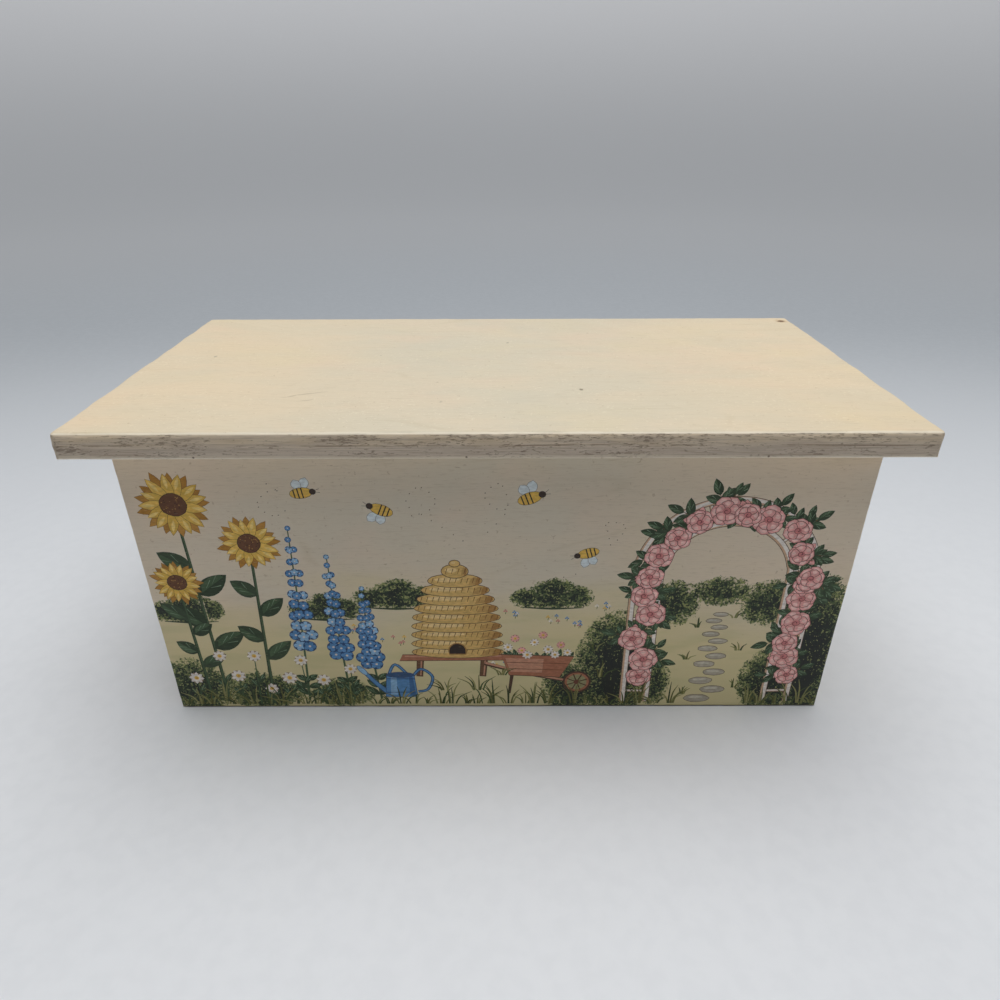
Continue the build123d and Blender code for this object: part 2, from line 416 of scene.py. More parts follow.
def lid_edge(s, low, high, upper):
    """The lid's front and back edges: streaked cream with open dirty pores, as colour, height and dirt."""
    edge = s.mix(upper, (206, 190, 171), (216, 198, 172))
    streaks = s.noise((30, 30, 0.55), detail=4, roughness=0.66, shift=14.2)
    edge = s.stain(edge, (184, 168, 150), streaks, 0.4, 0.66, 0.7)
    fine = s.noise((7, 7, 0.3), detail=3, roughness=0.6, shift=37.9)
    edge = s.stain(edge, (162, 143, 124), fine, 0.5, 0.68, 0.6)
    dirt = s.noise((22, 22, 3.0), detail=3, shift=17.5)
    edge = s.stain(edge, (176, 157, 138), dirt, 0.5, 0.7, 0.4)
    tan = s.step(s.noise((16, 16, 2.4), detail=3, shift=44.6), 0.46, 0.64, 0, 0.5)
    edge = s.mix(tan * upper, edge, (212, 190, 158))
    dashes = s.noise((1.5, 1.5, 0.34), detail=3, roughness=0.6, shift=23.1)
    crowds = s.noise((14, 14, 3.4), detail=3, shift=33.7)
    shown = s.step(dashes + crowds * 0.42 + upper * 0.02, 0.79, 0.9)
    edge = s.mix(shown * 0.5, edge, (110, 88, 70))
    # Two thin dark growth lines that run along the edge, here and there
    for depth, strength in ((2.2, 0.6), (5.2, 0.4)):
        from_line = s.axis("Z") - (high.z - depth - 0.85) + s.noise(60, shift=depth) * 1.7
        broken = s.step(s.noise(16, detail=4, roughness=0.6, shift=depth * 9), 0.42, 0.56)
        edge = s.mix(s.step(abs(from_line), 0.32, 0.1, 0, strength) * broken, edge, (132, 112, 90))
    # Painted highlight: a paler lower arris, as if lit from the floor
    ragged = s.axis("Z") + s.noise(26, shift=39.2) * 1.6
    edge = s.stain(edge, (218, 204, 182), ragged, low.z + 2.1, low.z + 1.6, 0.75)
    return edge, streaks * 6.0 - shown * 12.0, dirt


def lid_paint(name, lid_box, body_box, knot):
    """Cream paint on the lid: open dirty pores on its edges, and bare wood under it as far as the walls."""
    low, high = (corner / MM for corner in lid_box)
    s = Shader(name, LID_ROUGHNESS)
    top, top_height = cream_paint(s)
    top, top_height = pores(s, top, top_height, 0.98, (170, 150, 124))
    # Yellower towards the ends
    ends = s.step(abs(s.axis("X")), 20.0, 110.0)
    top = s.mix(0.3, top, s.mix(ends, (206, 196, 168), (232, 206, 160)))
    top = marked_top(s, top, high.z)
    # Edges, from the rounded upper arris down to the lower one
    above = s.step(s.axis("Z"), low.z + 0.1, low.z + 0.4)
    on_edge = s.step(s.axis("Z"), high.z - 0.45, high.z - 0.75) * above
    upper = s.step(s.axis("Z"), low.z + 2.5, high.z - 2.0)
    edge, edge_height, dirt = lid_edge(s, low, high, upper)
    # Painted highlight on the front's lower arris, most of all near its ends, and a few dark pits
    lower_arris_highlight = s.step(abs(s.axis("X")), 50.0, 112.0, 0.3, 0.95) * s.step(s.axis("Y"), low.y + 0.9, low.y + 0.5)
    lower_arris_highlight = lower_arris_highlight * s.step(s.axis("Z"), low.z + 0.6, low.z + 0.3)
    edge, top = (s.mix(lower_arris_highlight, colour, (252, 242, 224)) for colour in (edge, top))
    for x in SPECKS_FROM_MIDDLE_MM:
        edge = s.stain(edge, (98, 78, 58), s.distance((x, low.y, low.z + 0.6)), 0.46, 0.16, 0.85)
    # End grain on both ends: growth lines in arcs round the heart of the tree, and pores seen end on
    lines = s.distance((0, 14, low.z - 110), (0, 1, 1)) * 0.42 + s.noise(24, shift=58.3) * 1.6
    end = s.stain((208, 191, 168), (172, 152, 128), s.math("FRACT", lines), 0.4, 0.95, 0.5)
    end = s.stain(end, (166, 146, 126), dirt, 0.46, 0.7, 0.4)
    dot = s.step(s.noise((0.55, 0.42, 0.42), shift=66.4), 0.55, 0.68, 0, 0.65)
    end = s.mix(dot, end, (138, 116, 94))
    at_end = s.step(abs(s.axis("X")), high.x - 1.6, high.x - 0.9)
    edge = s.mix(at_end, edge, end)
    edge_height = s.blend(at_end, edge_height, dot * -9.0)
    # Painted highlight: a pale line along the upper arris
    crest_highlight = s.step(s.axis("Z"), high.z - 1.0, high.z - 0.6) * s.step(s.axis("Y"), low.y + 1.2, low.y + 0.7)
    top = s.mix(crest_highlight * 0.8, top, (243, 232, 210))
    colour = s.mix(on_edge, top, edge)
    height = s.blend(on_edge, top_height, edge_height)
    # A small dead knot
    far = s.distance(knot, (0.55, 0.6, 0.3)) + (s.noise(1.4, shift=3.9) - 0.5)
    colour = s.stain(colour, (190, 160, 118), far, 1.8, 0.9, 0.55)
    colour = s.stain(colour, (112, 80, 48), far, 1.0, 0.5)
    # Bare wood under the lid
    wood, wood_height = bare_wood(s)
    corner = Vector((body_box[1].x - BARE_WITHIN_MM * MM, body_box[1].y - BARE_WITHIN_MM * MM))
    under = (1.0 - outside_mask(s, corner, 1.6)) * s.step(s.axis("Z"), low.z + 2.6, low.z + 1.6)
    return s.finish(s.mix(under, colour, wood), s.blend(under, height, wood_height),
                    s.blend(on_edge, LID_ROUGHNESS, LID_EDGE_ROUGHNESS))


def bottom_wood(name):
    s = Shader(name, 0.74)
    colour, height = bare_wood(s, (212, 182, 140))
    marks = s.noise(3, detail=4, shift=71.0)
    return s.finish(s.stain(colour, (150, 122, 90), marks, 0.6, 0.72, 0.25), height)


def metal(name, bright, dull, roughness, scratch_mm):
    """Metal with a mottled tarnish and fine scratches."""
    s = Shader(name, roughness, 0.5, metallic=1.0)
    tarnish = s.noise(2.2, detail=5, roughness=0.65, shift=81.0)
    scratches = s.noise((scratch_mm, 0.12, 0.12), detail=3, shift=83.0)
    colour = s.stain(bright, dull, tarnish, 0.42, 0.7)
    colour = s.stain(colour, tuple(0.7 * c for c in dull), scratches, 0.6, 0.8, 0.3)
    rough = s.step(tarnish, 0.35, 0.75, roughness - 0.08, roughness + 0.16)
    return s.finish(colour, scratches * -1.2, rough)


# Boards


def face_side(face):
    """Which side of a box a face is on: x, y or z, in capitals on the positive side."""
    axis = max(range(3), key=lambda i: abs(face.normal[i]))
    return "xyz"[axis].upper() if face.normal[axis] > 0 else "xyz"[axis]


def cut_edge(edge, length):
    """Cut one edge of a mesh into pieces of about the length given."""
    start, end = edge.verts
    pieces = max(1, round(edge.calc_length() / length))
    for left in range(pieces, 1, -1):
        middle = bmesh.utils.edge_split(edge, start, 1 / left)[1]
        edge = next(e for e in middle.link_edges if end in e.verts)
        start = middle


def object_from(bm, name):
    mesh = bpy.data.meshes.new(name)
    bm.to_mesh(mesh)
    bm.free()
    obj = bpy.data.objects.new(name, mesh)
    bpy.context.scene.collection.objects.link(obj)
    return obj


def apply_modifiers(obj):
    """Replace an object's mesh by what its modifiers make of it."""
    mesh = bpy.data.meshes.new_from_object(obj.evaluated_get(bpy.context.evaluated_depsgraph_get()))
    obj.modifiers.clear()
    obj.data = mesh


def block(low, high):
    bm = bmesh.new()
    bmesh.ops.create_cube(bm, size=1)
    for v in bm.verts:
        v.co = Vector(l + (c + 0.5) * (h - l) for c, l, h in zip(v.co, low, high))
    return bm


def box_cutter(low, high):
    return object_from(block(low, high), "cutter")


def hole_cutter(centre, radius, depth):
    """A short round cutter along X."""
    bm = bmesh.new()
    bmesh.ops.create_cone(bm, cap_ends=True, segments=20, radius1=radius, radius2=radius, depth=depth)
    bmesh.ops.rotate(bm, verts=bm.verts, cent=(0, 0, 0), matrix=Matrix.Rotation(math.pi / 2, 3, "Y"))
    bmesh.ops.translate(bm, verts=bm.verts, vec=centre)
    return object_from(bm, "cutter")


def wear_arrises(bm, low, high):
    """Flatten the rounded arrises unevenly, each by a share of its own size."""
    moves = []
    for v in bm.verts:
        n = v.normal
        slant = min(1.0, 2 * (abs(n.x * n.y) + abs(n.y * n.z) + abs(n.z * n.x)))
        if slant < 0.05:
            continue
        # The middle of a rounding is 0.41 of its radius away from the sharp edge
        gaps = sorted(min(c - l, h - c) for c, l, h in zip(v.co, low, high))
        radius = math.hypot(gaps[0], gaps[1]) / 0.41
        coarse = noise.noise(v.co / (COARSE_WEAR_MM * MM))
        fine = noise.noise(v.co / (FINE_WEAR_MM * MM) + Vector((9, 9, 9)))
        inwards = min(0.0, -0.45 - 0.9 * coarse - 0.4 * fine)
        moves.append((v, n * radius * ARRIS_WEAR * slant * inwards))
    for v, move in moves:
        v.co += move


def board(name, node, arrises_mm, cutters=()):
    """A board in the place of a CAD node, with worn rounded arrises.

    arrises_mm gives the radius where two sides meet, as "zY" for the lower back edge. Other edges are left
    nearly sharp, as they are where boards join.
    """
    low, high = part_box(node)
    bm = block(low, high)
    for edge in list(bm.edges):
        cut_edge(edge, ARRIS_PIECE_MM * MM)
    bm.normal_update()
    widest = max([JOINT_ARRIS_MM, *arrises_mm.values()])
    weight = bm.edges.layers.float.new("bevel_weight_edge")
    radii = {frozenset(sides): radius for sides, radius in arrises_mm.items()}
    for edge in bm.edges:
        sides = frozenset(face_side(face) for face in edge.link_faces)
        edge[weight] = radii.get(sides, JOINT_ARRIS_MM) / widest
    obj = object_from(bm, name)
    bevel = obj.modifiers.new("arrises", "BEVEL")
    bevel.limit_method = "WEIGHT"
    bevel.width = widest * MM
    bevel.segments = ARRIS_STEPS
    bevel.use_clamp_overlap = False
    apply_modifiers(obj)
    bm = bmesh.new()
    bm.from_mesh(obj.data)
    bm.normal_update()
    flats = [face for face in bm.faces if len(face.verts) > FLAT_FACE_CORNERS]
    bmesh.ops.inset_individual(bm, faces=flats, thickness=SUPPORT_MM * MM, use_even_offset=True)
    bm.normal_update()
    wear_arrises(bm, low, high)
    bm.to_mesh(obj.data)
    bm.free()
    for cutter in cutters:
        cut = obj.modifiers.new("cut", "BOOLEAN")
        cut.operation = "DIFFERENCE"
        cut.solver = "EXACT"
        cut.object = cutter
    if cutters:
        apply_modifiers(obj)
    for cutter in cutters:
        bpy.data.objects.remove(cutter)
    obj.data.shade_smooth()
    obj.data.set_sharp_from_angle(angle=math.radians(SHARP_DEGREES))
    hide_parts(node)
    return obj


def dress(obj, body, material):
    """Give a new piece its material and its body."""
    obj.data.materials.clear()
    obj.data.materials.append(material)
    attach(obj, body)


# Brush work. A shape is a list of points (across, up) in millimetres, and every colour is an sRGB one.

CREAM = (226, 212, 188)
MAROON = (84, 30, 30)
PINK = (228, 165, 158)
PINK_LIGHT = (240, 198, 190)
PINK_DEEP = (203, 124, 122)
LEAF_DARK = (50, 66, 43)
LEAF = (70, 92, 62)
LEAF_LIGHT = (112, 136, 106)
BARK = (108, 76, 50)
WHITE = (230, 221, 212)
WHITE_SHADE = (205, 170, 138)
LINE_BROWN = (82, 56, 42)
STRAW = (212, 174, 104)
STRAW_LIGHT = (232, 202, 142)
STRAW_MIDDLE = (190, 150, 86)
STRAW_DARK = (168, 124, 66)
YELLOW = (226, 184, 84)
YELLOW_LIGHT = (241, 210, 128)
OCHRE = (182, 130, 52)
OCHRE_DARK = (120, 78, 32)
BLUE = (88, 138, 186)
BLUE_LIGHT = (142, 182, 214)
BLUE_MIDDLE = (64, 104, 150)
BLUE_DARK = (42, 70, 112)
TERRACOTTA = (168, 108, 80)
TERRACOTTA_LIGHT = (196, 142, 114)
TERRACOTTA_DARK = (112, 66, 48)
GRASS = ((122, 122, 72), (96, 96, 48), (70, 84, 42), (142, 138, 84), (58, 70, 38))
STONE = (176, 166, 148)


class Painting:
    """Shapes laid one over another on a flat face, kept inside its borders."""

    def __init__(self, left, right, low, high):
        self.borders = (left + PAINT_MARGIN_MM, right - PAINT_MARGIN_MM, low + PAINT_MARGIN_MM,
                        high - PAINT_MARGIN_MM)
        self.shapes = []
        self.shrubs = []

    def lay(self, points, colour):
        left, right, low, high = self.borders
        kept = [(min(max(x, left), right), min(max(z, low), high)) for x, z in points]
        if abs(area(kept)) > SMALLEST_SHAPE_MM2:
            self.shapes.append((kept, colour))

    def fill(self, points, colour, x=0.0, z=0.0, angle=0.0, scale=1.0, line=None, margin=0.0):
        """Add a shape, moved and turned by placed(). A line's colour puts a larger shape under it."""
        points = placed(points, x, z, angle, scale)
        if line is not None:
            self.lay(grown(points, margin), line)
        self.lay(points, colour)

    def stroke(self, points, widths, colour, x=0.0, z=0.0, scale=1.0, pieces=5):
        """Add a brush stroke. Its widths are at its start and end, and a third one is in its middle."""
        self.lay(ribbon(placed(points, x, z, 0.0, scale), *widths, pieces=pieces), colour)

    def shrub_at(self, x, z):
        """How thickly the shrubs are sponged at a place, from 0 to about 1.3."""
        total = 0.0
        for centre_x, centre_z, width, height, strength in self.shrubs:
            u = (x - centre_x) / (width / 2)
            v = (z - centre_z) / (height / 2)
            total = max(total, strength * (1 - (u * u + v * v)))
        return max(0.0, total)


def area(points):
    total = 0.0
    for (x0, z0), (x1, z1) in zip(points, points[1:] + points[:1]):
        total += x0 * z1 - x1 * z0
    return total / 2


def placed(points, x, z, angle=0.0, scale=1.0):
    """A shape turned by an angle in degrees, scaled and moved."""
    c = math.cos(math.radians(angle)) * scale
    s = math.sin(math.radians(angle)) * scale
    return [(x + c * u - s * v, z + s * u + c * v) for u, v in points]


def polar(x, z, distance, angle):
    """The place at a distance from another, in the direction of an angle in degrees."""
    return x + distance * math.cos(math.radians(angle)), z + distance * math.sin(math.radians(angle))


def oval(width, height, steps=14, uneven=0.0):
    points = []
    for i in range(steps):
        t = math.tau * i / steps
        k = 1 + uneven * hand.uniform(-1, 1)
        points.append((k * width / 2 * math.cos(t), k * height / 2 * math.sin(t)))
    return points


def disc(width, steps):
    return oval(width, width, steps)


def petal(length, width, belly=0.5, blunt=1.0, steps=7):
    """A petal or leaf from its foot at the origin along +x, widest at the belly's share of its length."""
    power = math.log(0.5) / math.log(belly)
    upper = []
    for i in range(1, steps):
        t = i / steps
        upper.append((length * t, width / 2 * math.sin(math.pi * t**power) ** blunt))
    return [(0, 0)] + [(x, -z) for x, z in upper] + [(length, 0)] + upper[::-1]


def curve(points, pieces=5):
    """A smooth line through points."""
    if len(points) < 3:
        return list(points)
    ends = [points[0], *points, points[-1]]
    line = []
    for a, b, c, d in zip(ends, ends[1:], ends[2:], ends[3:]):
        for i in range(pieces):
            t = i / pieces
            line.append(tuple(
                0.5 * (2 * q + (r - p) * t + (2 * p - 5 * q + 4 * r - s) * t * t
                       + (3 * q - p - 3 * r + s) * t**3)
                for p, q, r, s in zip(a, b, c, d)
            ))
    return line + [points[-1]]


def ribbon(points, start, end, middle=None, pieces=5):
    """A brush stroke along a smooth line, whose width goes from start through middle to end."""
    line = curve(points, pieces)
    if middle is None:
        middle = (start + end) / 2
    left, right = [], []
    for i, (x, z) in enumerate(line):
        before = line[max(i - 1, 0)]
        after = line[min(i + 1, len(line) - 1)]
        dx, dz = after[0] - before[0], after[1] - before[1]
        length = math.hypot(dx, dz) or 1.0
        t = i / (len(line) - 1)
        width = start + (middle - start) * 2 * t if t < 0.5 else middle + (end - middle) * (2 * t - 1)
        left.append((x - dz / length * width / 2, z + dx / length * width / 2))
        right.append((x + dz / length * width / 2, z - dx / length * width / 2))
    return left + right[::-1]


def grown(points, margin):
    """A shape made larger by a margin all round."""
    turn = 1 if area(points) > 0 else -1
    result = []
    for i, (x, z) in enumerate(points):
        x0, z0 = points[i - 1]
        x1, z1 = points[(i + 1) % len(points)]
        dx, dz = x1 - x0, z1 - z0
        length = math.hypot(dx, dz) or 1.0
        result.append((x + turn * dz / length * margin, z - turn * dx / length * margin))
    return result


def varied(colour, amount=9):
    shift = hand.uniform(-amount, amount)
    return tuple(min(255, max(0, c + shift)) for c in colour)


def paint_leaf(art, x, z, angle, length, width):
    art.fill(petal(length, width, 0.42, 0.8), varied(LEAF_DARK), x, z, angle)
    rim = [(length * t, width * 0.4 * math.sin(math.pi * t) ** 0.8) for t in (0.25, 0.4, 0.55, 0.7, 0.85)]
    art.fill([(length * 0.12, 0.02), *rim, (length * 0.9, 0.02)], varied(LEAF), x, z, angle)
    for side, start in ((1, 0.3), (1, 0.52), (-1, 0.4)):
        ends = [(length * start, side * width * 0.06), (length * (start + 0.26), side * width * 0.27)]
        art.fill(ribbon(ends, 0.12, 0.3), varied(LEAF_LIGHT), x, z, angle)


def paint_sprig(art, x, z, angle, length, leaf_length):
    """A twig with two leaves on it and one at its tip."""
    tip = polar(x, z, length, angle)
    bow = hand.uniform(-0.12, 0.12) * length
    middle = polar((x + tip[0]) / 2, (z + tip[1]) / 2, bow, angle + 90)
    art.stroke([(x, z), middle, tip], (0.5, 0.25), BARK)
    at = (x + (tip[0] - x) * 0.6, z + (tip[1] - z) * 0.6)
    for side in (-1, 1):
        paint_leaf(art, *at, angle + side * hand.uniform(42, 62), leaf_length * hand.uniform(0.85, 1.1),
                   leaf_length * 0.52)
    paint_leaf(art, *tip, angle + hand.uniform(-12, 12), leaf_length, leaf_length * 0.5)


def paint_rose(art, x, z, size):
    """An open climbing rose, petal by petal from the outside in."""
    start = hand.uniform(0, 360)
    for count, share, width, turn in ((6, 0.5, 0.46, 0), (5, 0.36, 0.36, 30)):
        for i in range(count):
            angle = start + turn + 360 * i / count + hand.uniform(-7, 7)
            length = size * share * hand.uniform(0.94, 1.06)
            shape = petal(length, size * width, 0.68, 0.62)
            art.fill(shape, varied(PINK, 7), x, z, angle, line=MAROON, margin=0.17)
            light = petal(length * 0.42, size * width * 0.5, 0.6, 0.8, 5)
            art.fill(light, varied(PINK_LIGHT, 6), *polar(x, z, 0.5 * length, angle), angle)
    art.fill(oval(size * 0.26, size * 0.24), PINK_DEEP, x, z)
    spiral = []
    for i in range(9):
        t = i / 8
        turn = math.radians(start + 430 * t)
        spiral.append(((0.03 + 0.13 * t) * math.cos(turn), (0.03 + 0.12 * t) * math.sin(turn)))
    art.stroke(spiral, (0.26, 0.12), MAROON, x, z, size, pieces=2)


def paint_bud(art, x, z, angle, size):
    art.fill(petal(size, size * 0.62, 0.45, 0.7), varied(PINK), x, z, angle, line=MAROON, margin=0.16)
    art.fill(petal(size * 0.7, size * 0.24, 0.45, 0.8, 5), PINK_DEEP, x, z, angle + 8)
    for side in (-24, 24):
        art.fill(petal(size * 0.62, size * 0.3, 0.4, 0.9, 5), LEAF, x, z, angle + side)


def paint_bar(art, points, width):
    """A white painted stick, with a warm shaded edge and a thin dark line down each side."""
    art.stroke(points, (width + 0.4, width + 0.4), LINE_BROWN)
    art.stroke(points, (width, width), WHITE_SHADE)
    art.stroke(points, (width * 0.62, width * 0.62), varied(WHITE, 4), width * 0.16, width * 0.08)


def paint_arch(art, x, foot_z, spring_z, outer, inner):
    """A lattice garden arch: two posts a side joined by rungs, turning into two hoops over the top."""
    for side in (-1, 1):
        z = foot_z + 5.0
        while z < spring_z - 1:
            paint_bar(art, [(x + side * (inner - 1), z), (x + side * (outer + 1), z + 0.3)], 1.0)
            z += 6.4
    rungs = 11
    for i in range(rungs):
        turn = 180 * (i + 0.5) / rungs
        paint_bar(art, [polar(x, spring_z, radius, turn) for radius in (inner - 1, outer + 1)], 1.0)
    half_way = (foot_z + spring_z) / 2
    for radius in (inner, outer):
        over = [polar(x, spring_z, radius, 180 - 15 * i) for i in range(13)]
        left, right = x - radius, x + radius
        paint_bar(art, [(left, foot_z), (left, half_way), *over, (right, half_way), (right, foot_z)], 1.9)


def paint_climber(art, centre_x, foot_z, spring_z, radius):
    """Roses, buds and leaves along an arch, thickest at its shoulders."""
    places = []
    for side, reach in ((-1, 96), (1, 84)):
        z = foot_z + 12
        while z < spring_z:
            places.append((centre_x + side * (radius + hand.uniform(-2.5, 2.5)), z, 90 + side * 20))
            z += hand.uniform(7.5, 9.5)
        turn = 0
        while turn < reach:
            angle = 90 - side * (90 - turn)
            places.append((*polar(centre_x, spring_z, radius + hand.uniform(-2.2, 3.4), angle), angle))
            turn += hand.uniform(18, 23)
    vine = sorted(places, key=lambda p: math.atan2(p[1] - spring_z + 30, p[0] - centre_x))
    for (x0, z0, _), (x1, z1, _) in zip(vine, vine[1:]):
        if math.hypot(x0 - x1, z0 - z1) < 16:
            middle = ((x0 + x1) / 2 + hand.uniform(-1.5, 1.5), (z0 + z1) / 2 + hand.uniform(-1.5, 1.5))
            art.stroke([(x0, z0), middle, (x1, z1)], (0.6, 0.4), BARK)
    for x, z, angle in places:
        for _ in range(3):
            out = angle + hand.uniform(-110, 110)
            paint_sprig(art, x, z, out, hand.uniform(4.0, 6.5), hand.uniform(4.6, 6.2))
    for i, (x, z, angle) in enumerate(places):
        if i % 3 == 2:
            for _ in range(2):
                out = angle + hand.uniform(-70, 70)
                paint_bud(art, *polar(x, z, 2, out), out, 3.4)
        paint_rose(art, x + hand.uniform(-1, 1), z + hand.uniform(-1, 1), hand.uniform(8.6, 10.8))


def paint_sunflower(art, x, foot_z, z, size, lean):
    """A tall sunflower with a leafy stem."""
    stem = [(x - lean, foot_z), (x - lean * 0.5, (foot_z + z) / 2), (x, z)]
    art.stroke(stem, (1.3, 0.9), LEAF_DARK)
    art.stroke(stem, (0.6, 0.4), LEAF, 0.15)
    for t, side in ((0.3, 1), (0.42, -1), (0.58, 1), (0.7, -1)):
        at = (x - lean * (1 - t), foot_z + (z - foot_z) * t)
        paint_leaf(art, *at, 90 - side * hand.uniform(48, 66), size * hand.uniform(0.5, 0.66), size * 0.3)
    petals = 13
    for length, turn, colour in ((0.5, 0, OCHRE), (0.46, 14, YELLOW)):
        for i in range(petals):
            angle = turn + 360 * i / petals + hand.uniform(-5, 5)
            shape = petal(size * length * hand.uniform(0.92, 1.08), size * 0.15, 0.5, 0.8)
            art.fill(shape, varied(colour), x, z, angle, line=OCHRE_DARK, margin=0.12)
            if colour is YELLOW:
                streak = petal(size * 0.2, size * 0.05, 0.5, 1, 4)
                art.fill(streak, YELLOW_LIGHT, *polar(x, z, size * 0.24, angle), angle)
    art.fill(oval(size * 0.36, size * 0.34, 18, 0.03), (104, 66, 40), x, z, line=(58, 36, 26), margin=0.2)
    for _ in range(26):
        seed = polar(x, z, size * 0.15 * math.sqrt(hand.random()), hand.uniform(0, 360))
        colour = hand.choice(((64, 40, 28), (150, 104, 58), (176, 128, 66)))
        art.fill(disc(0.42, 6), colour, *seed)


def paint_spire(art, x, foot_z, top_z, lean):
    """A delphinium: a leafy stem with blue florets that shrink towards its tip."""
    art.stroke([(x - lean, foot_z), (x - lean * 0.3, (foot_z + top_z) / 2), (x, top_z)], (0.9, 0.35), LEAF)
    for i in range(3):
        for side in (-1, 1):
            angle = 90 - side * hand.uniform(45, 70)
            paint_leaf(art, x - lean * 0.8, foot_z + 2 + 3.5 * i, angle, 6.5 - i, 2.6)
    start = foot_z + (top_z - foot_z) * 0.34
    rows = 12
    for i in range(rows):
        t = i / (rows - 1)
        z = start + (top_z - start) * t
        size = 4.5 - 2.7 * t
        spread = 3.0 * (1 - t) ** 0.7
        centre = x - lean * 0.3 * (1 - t)
        across = (0,) if i > rows - 3 else (-spread, spread, 0) if i % 2 else (-0.6 * spread, 0.6 * spread)
        for dx in across:
            at = (centre + dx + hand.uniform(-0.4, 0.4), z + hand.uniform(-0.6, 0.6))
            turn = hand.uniform(0, 72)
            art.fill(disc(size * 1.06, 12), BLUE_DARK, *at)
            shade = BLUE if hand.random() < 0.65 else BLUE_LIGHT
            for k in range(5):
                art.fill(petal(size * 0.5, size * 0.36, 0.62, 0.7, 5), varied(shade, 10), *at, turn + 72 * k)
            art.fill(disc(size * 0.2, 7), CREAM, *at)


def paint_daisy(art, x, z, size, colour=WHITE):
    turn = hand.uniform(0, 45)
    art.fill(disc(size * 0.9, 10), (150, 120, 92), x, z)
    for k in range(8):
        art.fill(petal(size * 0.5, size * 0.24, 0.6, 0.7, 4), varied(colour, 6), x, z, turn + 45 * k)
    art.fill(disc(size * 0.32, 8), YELLOW, x, z)
    art.fill(oval(size * 0.14, size * 0.1, 6), OCHRE, x + 0.1, z - 0.1)


def paint_skep(art, x, z, width, height):
    """A straw beehive of coiled rows on a plank stand."""
    for leg in (-0.42, 0.3):
        for left, right, drop, widths, colour in (
            (-0.8, 0.0, 9.5, (2.6, 2.4), LINE_BROWN),
            (-0.8, 0.0, 9.3, (2.1, 1.9), BARK),
            (-0.4, 0.4, 9.0, (0.6, 0.4), TERRACOTTA_LIGHT),
        ):
            art.stroke([(right, 0), (left, -drop)], widths, colour, x + leg * width, z)
    for corners, colour, line in (
        (((-0.66, -2.2), (0.62, -2.0), (0.66, 0.4), (-0.62, 0.3)), TERRACOTTA, LINE_BROWN),
        (((-0.6, -0.7), (0.6, -0.5), (0.62, 0.1), (-0.6, 0.0)), TERRACOTTA_LIGHT, None),
    ):
        art.fill([(width * u, v) for u, v in corners], colour, x, z, line=line, margin=0.25)
    rows = 10
    row_height = height / rows
    for i in range(rows):
        t = i / (rows - 0.75)
        half = width / 2 * math.sqrt(max(0.0, 1 - t**2.5))
        row_z = z + 1.6 + height * 0.96 * t
        coil = oval(2 * half + 0.6, row_height * 1.45, 22, 0.012)
        art.fill(coil, varied(STRAW, 5), x, row_z, line=LINE_BROWN, margin=0.24)
        art.fill(oval(half, row_height * 0.5, 12), STRAW_LIGHT, x - half * 0.3, row_z + 0.35)
        for start, colour in ((0.5, STRAW_MIDDLE), (0.76, STRAW_DARK)):
            shade = [(half * (start + (1 - start) * u), row_height * v) for u, v in
                     ((0.0, -0.5), (0.5, -0.45), (0.92, -0.1), (0.9, 0.25), (0.46, 0.42), (0.16, 0.1))]
            art.fill(shade, colour, x, row_z)
        stitches = int(half * 2 / 1.9)
        for k in range(stitches):
            at = x - half + (k + 0.6) * 2 * half / stitches
            art.stroke([(-0.3, -1.0), (0.3, 1.0)], (0.16, 0.3), (128, 88, 46), at, row_z)
    art.fill(oval(3.4, 2.4, 12), STRAW, x, z + 2.2 + height, line=LINE_BROWN, margin=0.25)
    art.fill(oval(1.5, 0.9, 8), STRAW_LIGHT, x - 0.4, z + 2.5 + height)
    turns = [math.radians(20 * i) for i in range(10)]
    door = [(-2.9, 0.8), (2.7, 0.8)] + [(2.8 * math.cos(a) - 0.1, 3.0 * math.sin(a) + 2.2) for a in turns]
    art.fill(door, (46, 32, 26), x, z, line=STRAW_DARK, margin=0.45)


def paint_bee(art, x, z, angle, size, trail):
    """A bee and the dotted loop that it has flown."""
    for i, (px, pz) in enumerate(curve([(x + dx, z + dz) for dx, dz in trail], 6)):
        if i % 2 and math.hypot(px - x, pz - z) > size * 0.7:
            art.fill(oval(0.5, 0.36, 6), (112, 92, 74), px, pz, hand.uniform(0, 90))
    for turn, length in ((62, 0.62), (104, 0.54)):
        wing = petal(size * length, size * 0.32, 0.66, 0.7)
        art.fill(wing, (214, 222, 224), x, z, angle + turn, line=(110, 104, 100), margin=0.12)
    art.fill(oval(size * 0.78, size * 0.4, 14), YELLOW, x, z, angle, line=LINE_BROWN, margin=0.14)
    for share in (-0.24, -0.1, 0.04):
        half = size * 0.2 * math.sqrt(1 - (share / 0.39) ** 2)
        art.fill(ribbon([(share * size, -half), (share * size, half)], 0.42, 0.42), (52, 38, 32), x, z, angle)
    head = polar(x, z, size * 0.4, angle)
    art.fill(disc(size * 0.24, 9), (58, 42, 34), *head)
    for side in (20, -16):
        art.stroke([head, polar(*head, size * 0.26, angle + side)], (0.16, 0.12), (58, 42, 34))


